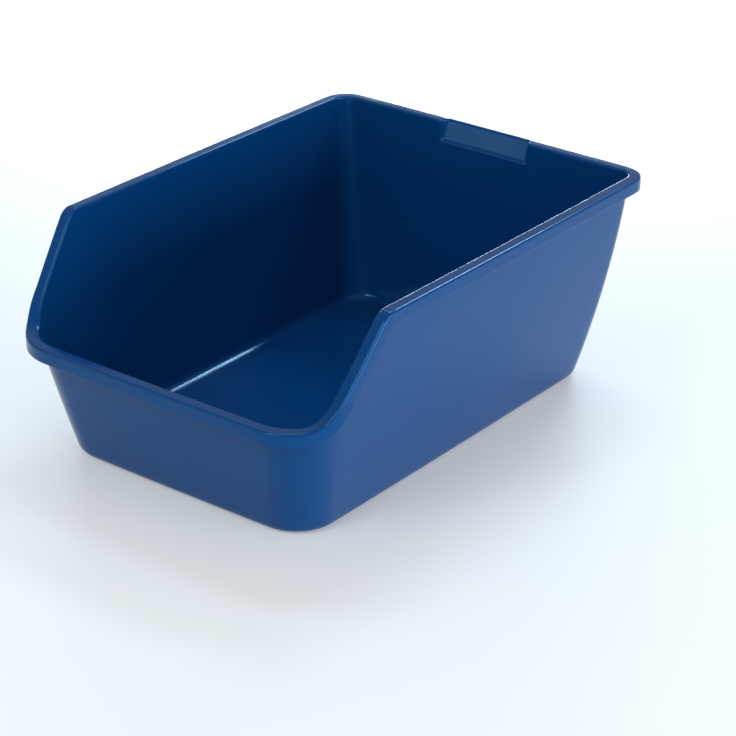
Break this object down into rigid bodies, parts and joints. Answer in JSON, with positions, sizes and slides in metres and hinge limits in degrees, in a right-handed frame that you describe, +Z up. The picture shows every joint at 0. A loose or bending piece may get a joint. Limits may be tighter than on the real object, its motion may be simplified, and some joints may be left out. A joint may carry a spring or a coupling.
{
  "type": "open high-sided cat litter tray",
  "caption": "Open high-sided cat litter tray with a turned-over rim, a high back and sides that slope down to a low front entry.",
  "frame": {"origin": "middle of the tray's bounding box, on the ground it stands on", "axes": "+Y along the tray from the low front to the high back, +X to its right side seen from the front, +Z up"},
  "size_m": [0.45, 0.61, 0.25],
  "materials": {
    "tray_plastic": "gloss navy blue injection-moulded polypropylene"
  },
  "bodies": {
    "root": {"tray": "tray_plastic"}
  },
  "joints": []
}
